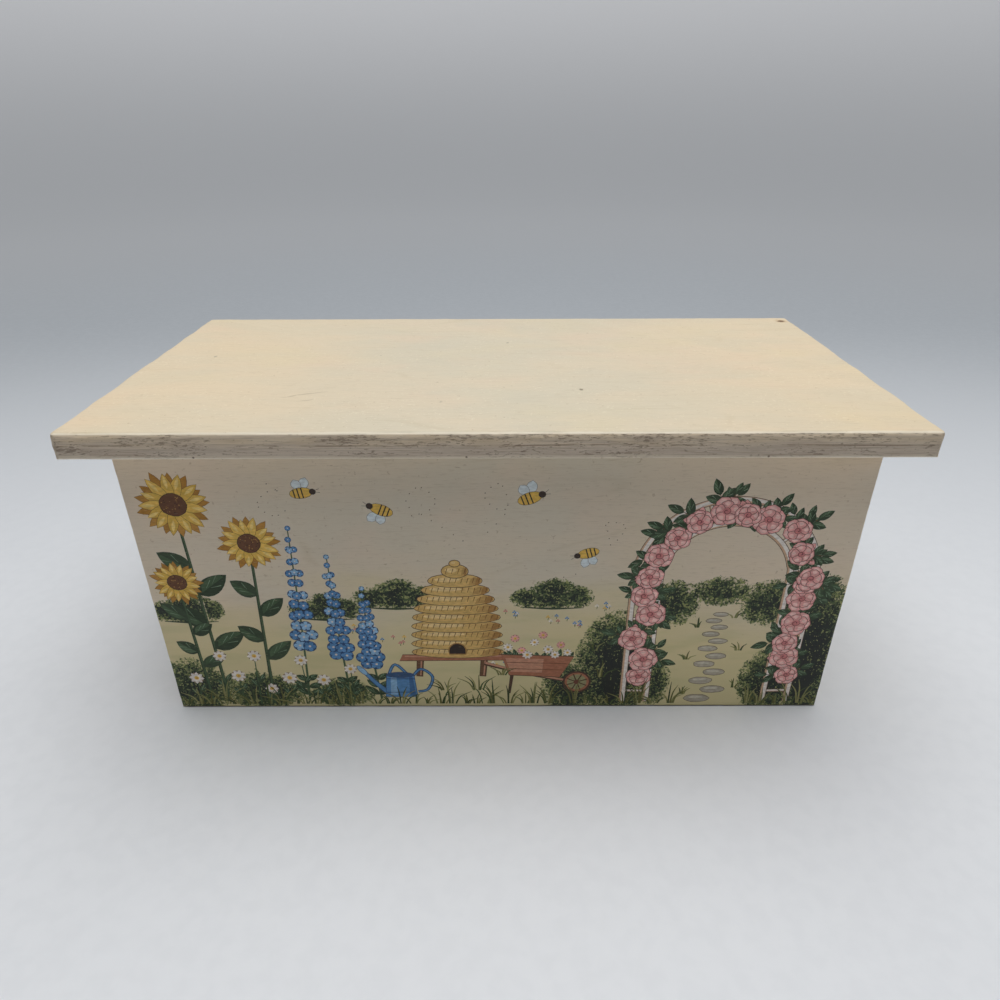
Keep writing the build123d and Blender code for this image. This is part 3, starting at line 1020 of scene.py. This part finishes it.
def paint_can(art, x, z, size):
    """A blue watering can with its spout to the left, in shares of its size."""
    handle = [(0.3, 0.62), (0.52, 0.86), (0.78, 0.62), (0.66, 0.24), (0.42, 0.16)]
    over = [(-0.26, 0.66), (-0.08, 1.0), (0.22, 0.66)]
    spout = [(-0.3, 0.14), (-0.56, 0.42), (-0.82, 0.78)]
    for line, outer, inner in ((handle, (1.2, 1.2), (0.6, 0.6)), (over, (1.2, 1.2), (0.6, 0.6)),
                               (spout, (2.3, 1.5), (1.7, 1.0))):
        art.stroke(line, outer, BLUE_DARK, x, z, size)
        art.stroke(line, inner, BLUE, x, z, size)
    rose = oval(0.12 * size, 0.34 * size, 12)
    art.fill(rose, BLUE_LIGHT, x - 0.86 * size, z + 0.82 * size, 38, line=BLUE_DARK, margin=0.2)
    body = [(-0.36, 0.0), (0.4, 0.0), (0.34, 0.68), (-0.3, 0.68)]
    light = [(-0.24, 0.06), (-0.08, 0.05), (-0.07, 0.6), (-0.21, 0.6)]
    shade = [(0.22, 0.03), (0.36, 0.03), (0.31, 0.62), (0.22, 0.62)]
    art.fill(body, BLUE, x, z, 0, size, line=BLUE_DARK, margin=0.26)
    art.fill(light, BLUE_LIGHT, x, z, 0, size)
    art.fill(shade, BLUE_MIDDLE, x, z, 0, size)
    for up in (0.14, 0.56):
        art.stroke([(-0.35 + 0.05 * up, up), (0.39 - 0.06 * up, up)], (0.32, 0.32), BLUE_DARK, x, z, size)
    mouth = oval(0.64 * size, 0.16 * size, 18)
    art.fill(mouth, (56, 84, 122), x + 0.02 * size, z + 0.68 * size, line=BLUE_DARK, margin=0.2)


def paint_barrow(art, x, z, size):
    """A wooden wheelbarrow full of daisies and leaves, with its wheel at the right, in shares of its size."""
    hub = (0.62, 0.2)
    for line, widths, colour in (
        ([(-0.34, 0.34), (-0.38, -0.02)], (1.3, 1.0), LINE_BROWN),
        ([(-0.74, 0.56), (-0.1, 0.36), hub], (1.7, 1.4), LINE_BROWN),
        ([(-0.73, 0.57), (-0.1, 0.37), hub], (0.9, 0.8), TERRACOTTA_LIGHT),
    ):
        art.stroke(line, widths, colour, x, z, size)
    hub = (x + hub[0] * size, z + hub[1] * size)
    for width, steps, colour in ((0.42, 22, LINE_BROWN), (0.36, 22, TERRACOTTA), (0.29, 20, (150, 146, 104))):
        art.fill(disc(width * size, steps), colour, *hub)
    for k in range(4):
        spoke = [polar(*hub, reach * size, 20 + 45 * k) for reach in (-0.16, 0.16)]
        art.stroke(spoke, (0.45, 0.45), LINE_BROWN)
    art.fill(disc(0.09 * size, 10), TERRACOTTA_DARK, *hub)
    for i in range(13):
        across = -0.4 + 0.86 * i / 12
        angle = 90 - 70 * across + hand.uniform(-12, 12)
        paint_leaf(art, x + across * size, z + 0.62 * size, angle, hand.uniform(3.6, 5.6), 2.1)
    tub = [(-0.38, 0.34), (0.36, 0.3), (0.56, 0.68), (-0.5, 0.72)]
    light = [(-0.36, 0.4), (0.1, 0.38), (0.12, 0.64), (-0.44, 0.66)]
    art.fill(tub, TERRACOTTA, x, z, 0, size, line=LINE_BROWN, margin=0.28)
    art.fill(light, TERRACOTTA_LIGHT, x, z, 0, size)
    for up in (0.44, 0.56):
        seam = [(-0.47 * (0.6 + up * 0.5), up + 0.02), (0.5 * (0.6 + up * 0.55), up - 0.01)]
        art.stroke(seam, (0.26, 0.26), TERRACOTTA_DARK, x, z, size)
    for dx, dz, colour in ((-0.4, 0.86, WHITE), (-0.2, 0.8, PINK), (-0.02, 0.95, WHITE), (0.18, 0.82, WHITE),
                           (0.36, 0.9, PINK), (0.46, 0.76, WHITE), (-0.3, 1.02, PINK), (0.1, 1.08, PINK),
                           (-0.12, 0.72, WHITE), (0.28, 0.72, WHITE)):
        paint_daisy(art, x + dx * size, z + dz * size, hand.uniform(3.2, 3.9), colour)


def paint_stones(art, centre_x, foot_z, top_z):
    """Stepping stones that shrink up a path."""
    z, side = foot_z, -1
    while z < top_z:
        t = (z - foot_z) / (top_z - foot_z)
        width, height = 9.0 - 4.0 * t, 3.4 - 1.8 * t
        x = centre_x + side * (2.6 - 1.6 * t)
        art.fill(oval(width, height, 16, 0.06), varied(STONE, 6), x, z, line=(104, 92, 78), margin=0.2)
        art.fill(oval(width * 0.6, height * 0.34, 12, 0.08), (202, 194, 176), x - 0.4, z + height * 0.16)
        z += height + 0.9
        side = -side


def paint_branches(art, x, z, height, count):
    """Dark brush marks fanning up inside a shrub."""
    for i in range(count):
        lean = (i - (count - 1) / 2) / count * height * 0.42 + hand.uniform(-1, 1)
        reach = height * hand.uniform(0.5, 0.85)
        branch = [(lean * 0.1, 0), (lean * 0.5, reach * 0.6), (lean, reach)]
        art.stroke(branch, (0.9, 0.15), (36, 40, 34), x, z)


def paint_grass(art, x, z, height, count, spread):
    """Blades of grass that fan out from one tuft."""
    for _ in range(count):
        lean = hand.uniform(-1, 1)
        reach = height * hand.uniform(0.5, 1.0) * (1 - 0.35 * abs(lean))
        foot = x + lean * spread * 0.25 + hand.uniform(-0.6, 0.6)
        blade = [(0, 0), (lean * spread * 0.3, reach * 0.6), (lean * spread, reach)]
        art.stroke(blade, (hand.uniform(0.45, 0.75), 0.12, 0.5), varied(hand.choice(GRASS), 8), foot, z)


def paint_tiny_flowers(art, x, z, count):
    """A few dots of colour low in the ground."""
    for _ in range(count):
        px, pz = x + hand.uniform(-4, 4), z + hand.uniform(-1.4, 1.4)
        art.stroke([(0, -1.3), (0.2, 0)], (0.2, 0.2), GRASS[2], px, pz)
        colour = hand.choice((WHITE, PINK_DEEP, YELLOW, BLUE))
        for dx, dz in ((0, 0.4), (0.4, -0.1), (-0.4, -0.1)):
            art.fill(oval(0.7, 0.6, 7), varied(colour), px + dx, pz + dz)


def paint_garden(art):
    """The whole design: an arch of roses at the right, a beehive in the middle, tall flowers at the left."""
    # Shrubs as ovals: the place of their middle, their width and height, and how thickly they are sponged
    art.shrubs += [
        (41, 18, 32, 56, 1.25), (26, 9, 24, 28, 1.05), (108, 24, 26, 74, 1.25), (96, 12, 26, 34, 1.1),
        (58, 46, 22, 22, 0.95), (90, 46, 22, 22, 0.95), (74, 51, 26, 14, 0.85), (55, 12, 14, 26, 0.9),
        (-108, 10, 30, 30, 1.0), (-84, 8, 34, 20, 0.95), (-56, 7, 28, 16, 0.85),
    ]
    for x, z, width, height in ((-34, 50, 28, 13), (-58, 45, 24, 12), (18, 50, 27, 13), (-104, 45, 24, 14)):
        for dx, dz, w, h in ((0.02, 0.06, 0.62, 1.0), (-0.3, -0.12, 0.5, 0.72), (0.3, -0.08, 0.5, 0.8),
                             (0.0, -0.24, 0.7, 0.5)):
            art.shrubs.append((x + dx * width, z + dz * height, w * width, h * height, 1.0))
        shadow = [(-0.36 * width, 0.5), (0, 0), (0.4 * width, 0.3)]
        art.stroke(shadow, (0.3, 0.2, 0.9), LEAF_DARK, x, z - 0.45 * height)
    for x, height, count in ((40, 42, 8), (27, 18, 5), (108, 54, 8), (95, 26, 5), (-107, 20, 5)):
        paint_branches(art, x, 2, height, count)
    for x, z in ((-46, 36), (-36, 31), (4, 42), (28, 38), (-66, 33), (1, 20), (34, 45), (20, 40), (-44, 24)):
        paint_tiny_flowers(art, x, z, 5)
    paint_stones(art, ARCH_X_MM, 4, 42)
    for x, z in ((66, 6), (84, 9), (66, 22), (83, 26), (68, 36), (80, 40)):
        paint_grass(art, x, z, 4.5, 5, 3)
    paint_arch(art, ARCH_X_MM, ARCH_FOOT_MM, ARCH_SPRING_MM, outer=29.5, inner=21)
    paint_climber(art, ARCH_X_MM, ARCH_FOOT_MM, ARCH_SPRING_MM, radius=25.5)
    for x, z, top, lean in ((-66, 4, 76, 2), (-55, 3, 65, -2), (-45, 4, 52, -3)):
        paint_spire(art, x, z, top, lean)
    for x, foot, z, size, lean in ((-100, 3, 84, 23, -3), (-79, 2, 70, 20, 2), (-105, 4, 55, 17, -2)):
        paint_sunflower(art, x, foot, z, size, lean)
    for x, z, size in ((-92, 15, 5.6), (-85, 24, 5.2), (-74, 14, 5.8), (-97, 24, 5.0), (-69, 22, 5.0),
                       (-62, 13, 5.4), (-107, 14, 5.4), (-81, 9, 5.0), (-52, 18, 4.8)):
        art.stroke([(x + hand.uniform(-2, 2), 2), (x, z)], (0.5, 0.35), LEAF)
        for dx, height, angle in ((0.2, 0.5, 60), (-0.2, 0.4, 120)):
            paint_leaf(art, x + dx, z * height, angle, 5, 1.9)
        paint_daisy(art, x, z, size)
    paint_skep(art, -14, 24, width=31, height=36)
    paint_barrow(art, 13, 7, size=24)
    paint_can(art, -35, 5, size=15)
    for x, z, angle, size, trail in (
        (-36, 82, 158, 9.5, [(0, 0), (11, -2), (17, 3), (12, 8), (8, 2), (17, -5), (26, -12)]),
        (10, 86, 20, 10.0, [(0, 0), (-9, -4), (-14, 1), (-9, 5), (-7, -4), (-14, -13)]),
        (29, 66, 196, 9.0, [(0, 0), (8, 4), (11, 10), (5, 11), (6, 4), (-2, -7), (-12, -10)]),
        (-60, 88, 8, 9.0, [(0, 0), (-9, 1), (-14, -4), (-9, -8), (-4, -3), (-11, 4)]),
    ):
        paint_bee(art, x, z, angle, size, trail)
    x = -112.0
    while x < 113:
        # The path stays free of tall grass
        if not 62 < x < 86:
            height = hand.uniform(8, 15) if hand.random() < 0.6 else 5.5
            paint_grass(art, x, 1.6, height, hand.randint(5, 8), hand.uniform(3, 8))
        x += hand.uniform(3.2, 6.0)
    for x, z, height in ((-19, 8, 8), (-7, 8, 9), (1, 15, 6), (36, 14, 8), (33, 26, 5)):
        paint_grass(art, x, z, height, 6, height * 0.7)


def topmost(places, shapes):
    """For each place, the number of the last shape that covers it, counted from 1, or 0 where none does."""
    # The places are sorted by square cells, so that a shape is tried only against those near it
    cell, middle, stride = 1.5, 300, 1000
    columns, rows = (np.floor(places[:, i] / cell).astype(int) + middle for i in (0, 1))
    keys = columns * stride + rows
    order = np.argsort(keys, kind="stable")
    keys = keys[order]
    result = np.zeros(len(places), int)
    for number, (points, _) in enumerate(shapes, 1):
        shape = np.array(points)
        low, high = (np.floor(corner / cell).astype(int) + middle for corner in (shape.min(0), shape.max(0)))
        starts = np.searchsorted(keys, np.arange(low[0], high[0] + 1) * stride + low[1])
        ends = np.searchsorted(keys, np.arange(low[0], high[0] + 1) * stride + high[1] + 1)
        near = np.concatenate([order[a:b] for a, b in zip(starts, ends)])
        x, z = places[near].T[:, :, None]
        x0, z0 = shape.T[:, None, :]
        x1, z1 = np.roll(shape, -1, axis=0).T[:, None, :]
        left = (x1 - x0) * (z - z0) - (x - x0) * (z1 - z0)
        turns = ((z0 <= z) & (z1 > z) & (left > 0)).sum(1) - ((z1 <= z) & (z0 > z) & (left < 0)).sum(1)
        result[near[turns != 0]] = number
    return result


def divide(points, lines):
    """Triangles between lines: their corners' places and source points, the triangles, and their middles."""
    flat = [Vector(point) for point in points]
    places, _, faces, sources, _, _ = delaunay_2d_cdt(flat, lines, [], 0, SAME_POINT_MM)
    places = np.array([tuple(p) for p in places])
    faces = np.array([list(face) for face in faces])
    return places, sources, faces, places[faces].mean(1)


def visible_lines(points, lines, shapes):
    """The borders that show when every shape lies over those before it, without points in straight runs."""
    places, _, faces, middles = divide(points, lines)
    top = topmost(middles, shapes)
    joined = {}
    waiting = {}
    for number, corners in enumerate(faces.tolist()):
        for a, b in zip(corners, corners[1:] + corners[:1]):
            other = waiting.pop((b, a), None)
            if other is None:
                waiting[(a, b)] = number
            elif top[other] != top[number]:
                joined.setdefault(a, set()).add(b)
                joined.setdefault(b, set()).add(a)
    for middle in list(joined):
        if len(joined[middle]) == 2:
            a, b = joined[middle]
            run, part = places[b] - places[a], places[middle] - places[a]
            straight = abs(run[0] * part[1] - run[1] * part[0]) < STRAIGHT_MM * math.hypot(*run)
            if straight and b not in joined[a]:
                joined[a] ^= {middle, b}
                joined[b] ^= {middle, a}
                del joined[middle]
    numbers = {old: new for new, old in enumerate(joined)}
    ends = [(numbers[a], numbers[b]) for a in joined for b in joined[a] if a < b]
    return [tuple(places[i]) for i in joined], ends


def paint_front(obj, front_y):
    """Divide the front's flat face along the painted shapes, and keep each part's colour in the mesh."""
    bm = bmesh.new()
    bm.from_mesh(obj.data)
    paint = bm.faces.layers.float_vector.new("paint")
    cover = bm.faces.layers.float.new("cover")
    shrub = bm.verts.layers.float.new("shrub")
    bm.normal_update()
    face = max((f for f in bm.faces if f.normal.y < -0.99), key=lambda f: f.calc_area())
    rim = list(face.verts)
    points = [(v.co.x / MM, v.co.z / MM) for v in rim]
    borders = [f([p[i] for p in points]) for i in (0, 1) for f in (min, max)]
    art = Painting(*borders)
    paint_garden(art)
    shape_points, shape_lines = [], []
    for shape, _ in art.shapes:
        first = len(shape_points)
        shape_lines += [(first + i, first + (i + 1) % len(shape)) for i in range(len(shape))]
        shape_points += shape
    shape_points, shape_lines = visible_lines(shape_points, shape_lines, art.shapes)
    lines = [(i, (i + 1) % len(rim)) for i in range(len(rim))]
    lines += [(a + len(rim), b + len(rim)) for a, b in shape_lines]
    points += shape_points
    left, right, low, high = art.borders
    for j in range(1, int((high - low) / PAINT_CELL_MM)):
        for i in range(1, int((right - left) / PAINT_CELL_MM)):
            points.append((left + (i + 0.5 * (j % 2)) * PAINT_CELL_MM, low + j * PAINT_CELL_MM))
    places, sources, faces, middles = divide(points, lines)
    tops = topmost(middles, art.shapes)
    verts = []
    for place, source in zip(places, sources):
        on_rim = [i for i in source if i < len(rim)]
        verts.append(rim[on_rim[0]] if on_rim else bm.verts.new((place[0] * MM, front_y, place[1] * MM)))
    bm.faces.remove(face)
    for corners, top in zip(faces.tolist(), tops.tolist()):
        new = bm.faces.new([verts[i] for i in corners])
        new.smooth = True
        if top:
            new[paint] = linear(art.shapes[top - 1][1])
            new[cover] = 1.0
    for v in bm.verts:
        if v.co.y < front_y + 1.2 * RIM_ARRIS_MM * MM:
            v[shrub] = art.shrub_at(v.co.x / MM, v.co.z / MM)
    bm.normal_update()
    bm.to_mesh(obj.data)
    bm.free()


# The pieces

front_box, back_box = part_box("front_panel"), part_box("back_panel")
side_box, lid_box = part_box("left_side_panel"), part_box("lid_board")
body_high = Vector((front_box[1].x, back_box[1].y, front_box[1].z))
body_box = (Vector((front_box[0].x, front_box[0].y, 0)), body_high)
inner_y = back_box[0].y
wall = body_box[1].y - inner_y
painted_rim = PAINTED_RIM_SHARE * wall
rounding = ARRIS_REACH * RIM_ARRIS_MM * MM
paint_from = Vector((body_box[1].x - painted_rim, body_box[1].y - painted_rim))
arris_from = Vector((body_box[1].x - rounding, body_box[1].y - rounding))


def rabbet_cutters(y_low, y_high):
    """The rabbets at both ends of the front or back panel, where the side panels sit."""
    cutters = []
    for side in (-1, 1):
        x = sorted((side * (body_box[1].x - wall), side * (body_box[1].x + wall)))
        cutters.append(box_cutter((x[0], y_low, -wall), (x[1], y_high, body_box[1].z + wall)))
    return cutters


def gain_cutters(up):
    """The gains for the hinge leaves in the back panel, where up is -1, or in the lid, where it is 1."""
    cutters = []
    clear = CUT_CLEARANCE_MM * MM
    seam = body_box[1].z
    z = sorted((seam - up * wall, seam + up * GAIN_DEPTH_MM * MM))
    for word in ("left", "right"):
        low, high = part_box(f"{word}_hinge_{'lid' if up > 0 else 'body'}_leaf")
        cutters.append(box_cutter((low.x - clear, low.y - clear, z[0]),
                                  (high.x + clear, high.y + wall, z[1])))
    return cutters


def brad_heads(node, side):
    """The centres of the heads of one side's brads, in the plane of that side's outer face."""
    low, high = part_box(node)
    head_x = high.x if side > 0 else low.x
    groups = []
    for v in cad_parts[node].data.vertices:
        if abs(v.co.x - head_x) < SAME_PLANE_MM * MM:
            near = next((g for g in groups if (g[0] - v.co).length < 4 * BRAD_HOLE_MM * MM), None)
            if near is None:
                groups.append([v.co.copy()])
            else:
                near.append(v.co.copy())
    centres = []
    for group in groups:
        y = [co.y for co in group]
        z = [co.z for co in group]
        centres.append(Vector((side * body_box[1].x, (min(y) + max(y)) / 2, (min(z) + max(z)) / 2)))
    return centres


def arrises(*groups):
    """Radii of a board's edges. Each group is a side, the sides that it meets there, and their radius."""
    letters = {"left": "x", "right": "X", "front": "y", "back": "Y", "lower": "z", "top": "Z"}
    return {letters[side] + letters[other]: radius
            for side, others, radius in groups for other in others.split()}


def wall_arrises(outer, inner):
    """The arrises of the front or back panel."""
    return arrises((outer, "left right top lower", RIM_ARRIS_MM), ("top", "left right", 2 * JOINT_ARRIS_MM),
                   (inner, "top", RIM_ARRIS_MM / 2))


front = board("painted_front_panel", "front_panel", wall_arrises("front", "back"),
              rabbet_cutters(side_box[0].y, wall - inner_y))
back = board("painted_back_panel", "back_panel", wall_arrises("back", "front"),
             rabbet_cutters(inner_y - wall, side_box[1].y) + gain_cutters(-1))
sides = []
for word, side, inner in (("left", -1, "right"), ("right", 1, "left")):
    holes = [hole_cutter(centre, BRAD_HOLE_MM * MM, 2 * BRAD_SET_MM * MM)
             for centre in brad_heads(f"{word}_side_brads", side)]
    radii = arrises((word, "top lower", RIM_ARRIS_MM), (inner, "top", RIM_ARRIS_MM / 2))
    sides.append(board(f"painted_{word}_side_panel", f"{word}_side_panel", radii, holes))
lid_arrises = arrises(("top", "front back left right", LID_TOP_ARRIS_MM),
                      ("lower", "front back left right", LID_LOWER_ARRIS_MM),
                      ("front", "left right", LID_CORNER_MM), ("back", "left right", LID_CORNER_MM))
lid = board("painted_lid_board", "lid_board", lid_arrises, gain_cutters(1))
paint_front(front, front_box[0].y)

knot = lid_box[1] / MM - Vector((*KNOT_FROM_CORNER_MM, 0))
dress(front, "box", front_paint("front_paint", paint_from, arris_from, front_box[0].y))
dress(back, "box", wall_paint("back_paint", "X", paint_from, arris_from))
side_paint = wall_paint("side_paint", "Y", paint_from, arris_from)
for obj in sides:
    dress(obj, "box", side_paint)
dress(lid, "lid", lid_paint("lid_paint", lid_box, body_box, knot))

# The bottom and the metal parts keep their CAD meshes. A metal goes by the last word of the node's name.
metals = {
    "leaf": metal("leaf_brass", (226, 186, 112), (170, 124, 62), roughness=0.34, scratch_mm=3.0),
    "pin": metal("pin_brass", (214, 170, 98), (150, 108, 56), roughness=0.3, scratch_mm=1.2),
    "screws": metal("screw_brass", (218, 178, 108), (138, 100, 56), roughness=0.36, scratch_mm=0.8),
    "brads": metal("brad_steel", (150, 146, 140), (104, 84, 66), roughness=0.5, scratch_mm=0.6),
}
for name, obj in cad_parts.items():
    kind = name.rsplit("_", 1)[1]
    material = bottom_wood("bottom_wood") if name == "bottom_panel" else metals.get(kind)
    if material is not None:
        obj.data.materials.clear()
        obj.data.materials.append(material)

# Camera

camera_data = bpy.data.cameras.new("camera")
camera_data.sensor_width = SENSOR_MM
camera_data.lens = FOCAL_PX / FRAME_PX * SENSOR_MM
camera_data.clip_start = CLIP_START_MM * MM
camera = bpy.data.objects.new("camera", camera_data)
bpy.context.scene.collection.objects.link(camera)
camera.location = Vector(CAMERA_FROM_FRONT_MM) * MM + Vector((0, body_box[0].y, 0))
turns = ((CAMERA_YAW, "Z"), (90 - CAMERA_PITCH, "X"), (CAMERA_ROLL, "Z"))
yaw, tilt, roll = (Matrix.Rotation(math.radians(angle), 3, axis) for angle, axis in turns)
camera.rotation_euler = (yaw @ tilt @ roll).to_euler()
bpy.context.scene.camera = camera

# Stage and light


def stage_material(name):
    """A pale matt floor with painted shade, darker further back and far off. Far off it also glows a little
    where it is seen, as painted light, and its glow lights nothing.
    """
    s = Shader(name, 0.85, 0.2)
    # Painted shade: greyer and darker further back, as the lamp's light falls off
    colour = s.stain((229, 231, 234), (180, 185, 190), s.axis("Y"), -120.0, 520.0)
    colour = s.stain(colour, (206, 209, 213), s.noise(5, detail=3, shift=91.0), 0.35, 0.7, 0.12)
    away = s.distance((0, 0, 0), (1, 1, 0))
    # Painted shade: darker still far off, so the far wall also sends less light back onto the box
    colour = s.stain(colour, (176, 180, 184), away, 600.0, 1300.0)
    glow = s.step(away, 480.0, 1250.0, 0.0, 0.15) + s.step(s.axis("Z"), 0.0, 640.0, 0.0, 0.29)
    s.put(s.bsdf.inputs["Emission Color"], rgba((250, 250, 252)))
    s.put(s.bsdf.inputs["Emission Strength"], s.seen() * glow)
    return s.finish(colour)


def bowl(name, flat, bend, rise):
    """A round floor, flat to one distance from its middle, that bends up into a wall of the height given."""
    steps = 24
    turns = [math.pi / 2 * i / steps for i in range(steps + 1)]
    profile = [(flat / 2, 0.0)]
    profile += [(flat + bend * math.sin(turn), bend - bend * math.cos(turn)) for turn in turns]
    profile.append((flat + bend, rise))
    bm = bmesh.new()
    sides = 96
    angles = [2 * math.pi * i / sides for i in range(sides)]
    rings = [[bm.verts.new((r * math.cos(a), r * math.sin(a), z)) for a in angles] for r, z in profile]
    bm.faces.new(rings[0])
    for inner, outer in zip(rings, rings[1:]):
        for i in range(sides):
            face = bm.faces.new((inner[i - 1], outer[i - 1], outer[i], inner[i]))
            face.smooth = True
    return object_from(bm, name)


floor = bowl("floor", flat=1.0, bend=1.2, rise=2.6)
floor.data.materials.append(stage_material("floor_paper"))

lamp_data = bpy.data.lights.new("overhead_lamp", "AREA")
lamp_data.shape = "RECTANGLE"
lamp_data.size, lamp_data.size_y = LAMP_SIZE
lamp_data.energy = LAMP_WATTS
lamp = bpy.data.objects.new("overhead_lamp", lamp_data)
bpy.context.scene.collection.objects.link(lamp)
lamp.location = LAMP_PLACE
lamp.rotation_euler = (Vector(LAMP_PLACE) - Vector(LAMP_AIM)).to_track_quat("Z", "Y").to_euler()

world = bpy.data.worlds.new("world")
bpy.context.scene.world = world
world.use_nodes = True
background = world.node_tree.nodes["Background"]
background.inputs["Color"].default_value = SKY_COLOUR
sky = Nodes(world.node_tree)
sky.put(background.inputs["Strength"], sky.step(sky.seen(), 0.0, 1.0, SKY_LIGHT, SKY_SEEN))

bpy.context.scene.view_settings.view_transform = "Standard"
